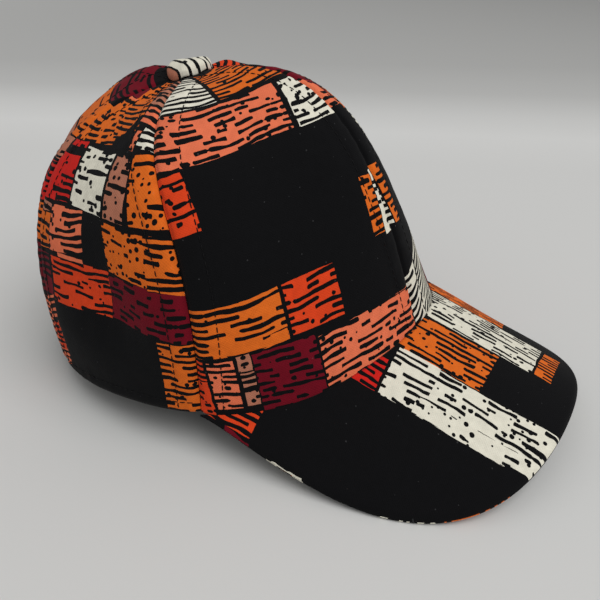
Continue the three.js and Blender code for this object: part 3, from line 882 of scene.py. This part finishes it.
def peak_edge(share):
    """Half the peak's outline from above, from the side seam to the middle of the front: a cubic
    with two handles."""
    share = share[..., None]
    side = np.array([TIP_X + PEAK_CORNER, TIP_Y])
    front = np.array([0, -RIM_HALF_LENGTH - PEAK_LENGTH])
    side_handle = side + PEAK_SIDE_HANDLE * np.array([math.sin(PEAK_SIDE_ANGLE), -math.cos(PEAK_SIDE_ANGLE)])
    front_handle = front + np.array([PEAK_FRONT_HANDLE, 0])
    rest = 1 - share
    return (
        rest**3 * side + 3 * share * rest**2 * side_handle
        + 3 * share**2 * rest * front_handle + share**3 * front
    )


def peak_grid(upper):
    """Points of one cover's seen and hidden faces and its cloth coordinates: forward from the
    rim's front, along the marks, and across from the middle by arc length. Straight lines run
    from the rim to the outline; near it each cover rounds over to meet the other. The whole
    thickness falls off at the side ends by a bell curve."""
    from_middle = np.linspace(1, -1, PEAK_COLUMNS + 1)
    even = np.linspace(0, 1, PEAK_ROWS + 1)[:, None]
    outward = 1 - (1 - even) ** PEAK_CROWDING
    rim_x, rim_y, _ = rim_point(FRONT_SIDE_SEAM * from_middle)
    clear = 1 + SEAM_GAP / np.hypot(rim_x, rim_y)
    edge = peak_edge(1 - np.abs(from_middle))
    edge_x = -np.sign(from_middle) * edge[:, 0]
    x = rim_x * clear * (1 - outward) + edge_x * outward
    y = rim_y * clear * (1 - outward) + edge[:, 1] * outward
    z = peak_height(x, y)
    to_edge = (1 - outward) * np.hypot(edge_x - rim_x, edge[:, 1] - rim_y)
    to_end = np.minimum(to_edge, 1 + 0.8 * RIM_HALF_WIDTH * (1 - np.abs(from_middle)))
    thin = 1 - PEAK_END_THINNED * bell(1 - np.abs(from_middle), PEAK_END)
    gap = SEAM_GAP * thin
    cover = PEAK_COVER * thin
    rounded = np.sqrt(np.maximum(1 - np.clip(1 - to_edge / PEAK_COVER, 0, 1) ** 2, 0))
    soft = PEAK_UNEVEN * unevenness(x, y, PEAK_SWELL_LENGTH, 61 + upper) * (1 - bell(to_end, PEAK_EDGE_FIRM))
    if upper:
        meeting = z - cover - gap / 4
        seen = meeting + (z - meeting) * rounded + soft
        hidden = np.where(rounded < 1, np.minimum(meeting, seen), np.minimum(z - cover, seen - COVER_LEAST))
    else:
        meeting = z - cover - gap * 3 / 4
        seen = meeting - (cover + gap / 4) * rounded + soft
        hidden = np.where(rounded < 1, np.maximum(meeting, seen), z - cover - gap)
    slope = x / PEAK_ARCH_RADIUS
    across = PEAK_ARCH_RADIUS / 2 * (slope * np.sqrt(1 + slope**2) + np.arcsinh(slope))
    forward = -(y + RIM_HALF_LENGTH) * math.sqrt(1 + PEAK_SLOPE**2)
    place = np.stack([forward, across], -1)
    return np.stack([x, y, seen], -1), np.stack([x, y, hidden], -1), place


# The print on the covers, as on the panels: millimetres forward from the rim's front, then across
# from the middle towards the wearer's left.
PEAK_PRINT = {
    "peak_top": [
        ("ivory", -0.7, 80, -40.4, -16.2, 0.5, 9, 0.2, 0.045),
        ("ivory", -0.7, 19, -33, -16.9, 0.75, 12, 0, 0.045),
        ("ivory", 14, 80, -39.8, -31.6, 0.1, 5, 0.35, 0.045),
        ("black", 52.5, 80, -46, -36.7, 0, 6, 0, 0.045),
        ("orange", -8, 35.8, -17.7, 7.4, 0.6, 11, 0.3, 0.045),
        ("ivory", -10, 48.6, 8.4, 38.8, 0.52, 8, 0.3, 0.02, -0.12),
        ("orange", 48.8, 57.1, 10, 38, 0.5, 14, 0, 0, -0.09),
        ("orange", -22, 20, 38.9, 95, 0.6, 6, 0, 0, -0.25),
        ("red", -14, -1.2, -42.3, -25, 0.6, 4),
        ("red orange", -68, -40.2, -87.2, -60, 0.5, 14, 0, 0.1, 0.15),
        ("burgundy", -54.5, -41.8, -100, -86.4, 0.1, 5, 0, -0.05),
        ("ivory", -38, -14.8, -100, -86.1, 0, 6, 0, 0.09),
        ("orange", -31, -17, -100, -86.8, 0, 6, 0, 0.08),
        ("ivory", 14.5, 35.5, -95, -75.7, 0.1, 6, 0, 0.475),
        ("orange", 38, 58, -95, -61.2, 0.4, 5, 0.1, 0.9),
    ],
    "peak_under": [
        ("ivory", -37, -17, -100, -76, 0.5, 6, 0.2),
        ("orange", -28, -20, -100, -86, 0.4),
        ("ivory", 12, 35, -100, -60, 0.6, 6, 0.2),
        ("orange", 37, 60, -74, -46, 0.7, 8),
        ("ivory", -10, 90, 12, 35, 0.6, 6, 0.2),
        ("salmon", -60, -8, -46, -14, 0.6, 7, 0.2),
        ("burgundy", -70, -30, 40, 62, 0.5, 5),
        ("orange", -28, 20, 64, 84, 0.8, 9),
    ],
}

for own, upper in (("peak_top", True), ("peak_under", False)):
    seen, hidden, place = peak_grid(upper)
    faces, inside = sheet_faces(*seen.shape[:2])
    piece = make_mesh(
        f"{own}_cloth", np.stack([seen, hidden]), faces, np.stack([place, place]),
        [printed_cotton(f"patchwork print cotton, {own.replace('_', ' ')}", PEAK_PRINT[own]), FACING], inside)
    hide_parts(own)

# Button: a domed metal blank covered with a gathered disc of the print, riveted through the
# point where the panels meet.
BUTTON_RADIUS = 9.8
BUTTON_EDGE = 1.8           # height of its upright edge
BUTTON_DOME = 4.9
BUTTON_SIDES = 132
BUTTON_DOME_RINGS = 30
BUTTON_DRAWN_IN = 0.15      # how far inside its radius the cover lies
GATHERS = 0.22
GATHER_LENGTH = 5           # measured round a ring of GATHER_RING
GATHER_RING = 9
BUTTON_PRINT_TURN = math.radians(247)

# The cover turned in under the button: each ring's share of the radius and height over the crown.
BUTTON_FOOT = {
    "share": (1.01, 1.005, 0.98, 0.9, 0.5, 0.01),
    "height": (1.2, 0.7, 0.35, 0.3, 0.3, 0.3),
}

# The print on the button, as on the panels, in millimetres from its middle.
BUTTON_PRINT = [
    ("ivory", -20, 20, -7.9, 20),
    ("dusty pink", -20, 20, -20, -7.7, 0.1),
    ("black", -20, 20, -5, -2.7),
    ("black", -20, 20, -1.1, 1.3),
    ("black", -20, 20, 3.1, 5.4),
    ("black", -20, 20, 6.3, 8.4),
]


def crown_height_at(angle, radius):
    """The height of the crown's face at a distance from its middle, read off its own curve."""
    up = np.linspace(0.7, 1, 200)
    heights = []
    for one in angle:
        curve = crown_face(np.full_like(up, one), up)
        heights.append(np.interp(radius, np.hypot(curve[:, 0], curve[:, 1])[::-1], curve[::-1, 2]))
    return np.array(heights).T


def button_grid():
    """Rings of points from the middle of the dome, over its edge and in under it to the middle of
    its foot. The dome is an ellipse on an upright edge with small gathers."""
    angle = np.linspace(-np.pi, np.pi, BUTTON_SIDES, endpoint=False)
    lean = np.linspace(0.01, np.pi / 2, BUTTON_DOME_RINGS)
    share = np.concatenate([np.sin(lean), BUTTON_FOOT["share"]])
    height = np.concatenate([BUTTON_EDGE + BUTTON_DOME * np.cos(lean), BUTTON_FOOT["height"]])
    radius = BUTTON_RADIUS * share
    ground = crown_height_at(angle, np.minimum(radius, BUTTON_RADIUS))
    share, height = share[:, None], height[:, None]
    middle = np.clip(1 - share, 0, 1)
    level = CROWN_HEIGHT * middle + ground * (1 - middle)
    level = np.where(np.arange(len(share))[:, None] < BUTTON_DOME_RINGS, level, ground)
    gathers = GATHERS * unevenness(angle * GATHER_RING, share * 3, GATHER_LENGTH, 81) * share**6
    reach = radius[:, None] + gathers - BUTTON_DRAWN_IN
    x = -reach * np.sin(angle)
    y = -reach * np.cos(angle)
    return np.stack([x, y, level + height + 0 * x], -1)


rings = button_grid()
faces, caps = tube_faces(1, *rings.shape[:2])
place = np.stack([
    rings[..., 0] * math.cos(BUTTON_PRINT_TURN) + rings[..., 1] * math.sin(BUTTON_PRINT_TURN),
    rings[..., 1] * math.cos(BUTTON_PRINT_TURN) - rings[..., 0] * math.sin(BUTTON_PRINT_TURN),
], -1)
button_print = printed_cotton("patchwork print cotton, button", BUTTON_PRINT)
piece = make_mesh("button_cloth", rings, faces, place, [button_print], 0, caps)
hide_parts("button")

# Camera, at the photograph's angle: close in front of the cap and to its wearer's right, looking
# down on it and rolled a little. Distances are in millimetres.
CAMERA_AZIMUTH = math.radians(-56.63)
CAMERA_ELEVATION = math.radians(31.14)
CAMERA_DISTANCE = 288.42
CAMERA_ROLL = math.radians(-1.68)
CAMERA_TARGET = np.array([-7.82, -9.26, 37.1])
CAMERA_LENS = 37.63

back = np.array([
    math.sin(CAMERA_AZIMUTH) * math.cos(CAMERA_ELEVATION),
    -math.cos(CAMERA_AZIMUTH) * math.cos(CAMERA_ELEVATION),
    math.sin(CAMERA_ELEVATION),
])
level = unit(np.cross(-back, [0, 0, 1]))
upright = np.cross(level, -back)
right = level * math.cos(CAMERA_ROLL) + upright * math.sin(CAMERA_ROLL)
camera_up = upright * math.cos(CAMERA_ROLL) - level * math.sin(CAMERA_ROLL)
camera_data = bpy.data.cameras.new("camera")
camera_data.lens = CAMERA_LENS
camera = bpy.data.objects.new("camera", camera_data)
bpy.context.scene.collection.objects.link(camera)
place = np.eye(4)
place[:3, :3] = np.stack([right, camera_up, back], -1)
place[:3, 3] = (CAMERA_TARGET + back * CAMERA_DISTANCE) * MM
camera.matrix_world = Matrix(place.tolist())
bpy.context.scene.camera = camera

# Floor: pale grey paper laid flat, in metres, with painted light and shade in its colour. Behind the cap,
# away from the camera, it goes through a painted brighter band and then softly to a painted darker grey, and
# it gets duller to the right as painted shade. Each tone's place is its distance behind the middle of the
# cap.
FLOOR_HALF = 4          # half its length and width
FLOOR_TURN = 0.2        # how far the line between its tones is turned
FLOOR_PAINTED_SHADE_FALL = 0.25       # painted shade: how much duller it gets with every metre to the right
FIBRES = 0.9            # fibres of the paper to a millimetre, coarser than real so that they show
# Painted light and shade on the floor: tones by distance behind the cap, with a brighter band and a darker
# far end.
FLOOR_PAINTED_LIGHT_TONES = (
    (0.0, "#D6D6D4"),
    (0.3, "#DEDEDC"),
    (0.395, "#E6E6E4"),
    (0.47, "#DFDFDD"),
    (0.577, "#CDCDCB"),
    (0.75, "#C5C5C3"),
    (1.6, "#CACAC8"),
)

floor_mesh = bpy.data.meshes.new("floor")
floor_corners = [(x * FLOOR_HALF, y * FLOOR_HALF, 0) for x, y in ((-1, -1), (1, -1), (1, 1), (-1, 1))]
floor_mesh.from_pydata(floor_corners, [], [(0, 1, 2, 3)])
floor = bpy.data.objects.new("floor", floor_mesh)
bpy.context.scene.collection.objects.link(floor)


def paper():
    """Matt paper with painted light and shade: its tone changes with the distance behind the cap, a painted
    bright band and a painted darker far end, and falls a little to the right as painted shade.
    """
    material = bpy.data.materials.new("matt grey paper with painted light and shade")
    material.use_nodes = True
    tree = material.node_tree
    tree.nodes.clear()
    place = add_node(tree, "ShaderNodeTexCoord", output="Object")
    behind = FLOOR_TURN * right - back
    behind[2] = 0
    distance = add_node(tree, "ShaderNodeVectorMath", place, behind, output="Value", operation="DOT_PRODUCT")
    far = FLOOR_PAINTED_LIGHT_TONES[-1][0]
    share = add_node(tree, "ShaderNodeMath", distance, far * math.cos(CAMERA_ELEVATION), operation="DIVIDE")
    # Painted light and shade: the floor's tone read off by its distance behind the cap.
    tone = add_node(tree, "ShaderNodeValToRGB", share)
    ramp = tone.node.color_ramp
    for position, _ in FLOOR_PAINTED_LIGHT_TONES[1:-1]:
        ramp.elements.new(position / far)
    for element, (_, colour) in zip(ramp.elements, FLOOR_PAINTED_LIGHT_TONES):
        element.color = linear(colour)
    # Painted shade: the floor dulled towards the right.
    beside = add_node(tree, "ShaderNodeVectorMath", place, level, output="Value", operation="DOT_PRODUCT")
    share = add_node(tree, "ShaderNodeMath", beside, -FLOOR_PAINTED_SHADE_FALL, 1.0, operation="MULTIPLY_ADD")
    tone = add_node(tree, "ShaderNodeVectorMath", tone, named={"Scale": share}, operation="SCALE")
    fibres = add_node(tree, "ShaderNodeTexNoise", place, named={"Scale": FIBRES / MM, "Detail": 2.0})
    bump = add_node(tree, "ShaderNodeBump", named={"Strength": 0.1, "Distance": 0.1 * MM, "Height": fibres})
    shell = add_node(tree, "ShaderNodeBsdfPrincipled", named={
        "Base Color": tone, "Roughness": 0.95, "Specular IOR Level": 0.2, "Normal": bump,
    })
    add_node(tree, "ShaderNodeOutputMaterial", shell)
    return material


floor_mesh.materials.append(paper())

# Light: a pale room, brightest overhead and dimmer towards the floor, and one broad soft lamp high
# in front of the cap, so that the shadow is soft all round and deepest under its own overhang.
# Places and sizes are in metres.
ROOM_LIGHT_OVERHEAD = 0.565
ROOM_LIGHT_LEVEL = 0.22
LAMP_PLACE = (-0.2, -0.9, 1.33)
LAMP_AIM = (0, 0, 0.05)
LAMP_SIZE = 1.2
LAMP_ENERGY = 14


def room_light():
    """A world whose light rises in step with the sine of the height that it comes from."""
    world = bpy.data.worlds.new("studio")
    world.use_nodes = True
    tree = world.node_tree
    tree.nodes.clear()
    from_centre = add_node(tree, "ShaderNodeTexCoord", output="Generated")
    direction = add_node(tree, "ShaderNodeSeparateXYZ", from_centre)
    height = add_node(tree, "ShaderNodeMath", direction.node.outputs["Z"], 0.0, operation="MAXIMUM")
    strength = add_node(
        tree, "ShaderNodeMath", height, ROOM_LIGHT_OVERHEAD - ROOM_LIGHT_LEVEL, ROOM_LIGHT_LEVEL,
        operation="MULTIPLY_ADD")
    light = add_node(tree, "ShaderNodeBackground", linear("#FFFFFF"), strength)
    add_node(tree, "ShaderNodeOutputWorld", light)
    return world


bpy.context.scene.world = room_light()
lamp_data = bpy.data.lights.new("soft lamp", "AREA")
lamp_data.size = LAMP_SIZE
lamp_data.energy = LAMP_ENERGY
lamp = bpy.data.objects.new("soft lamp", lamp_data)
lamp.location = LAMP_PLACE
lamp.rotation_euler = (Vector(LAMP_PLACE) - Vector(LAMP_AIM)).to_track_quat("Z", "Y").to_euler()
bpy.context.scene.collection.objects.link(lamp)
bpy.context.scene.view_settings.view_transform = "Standard"
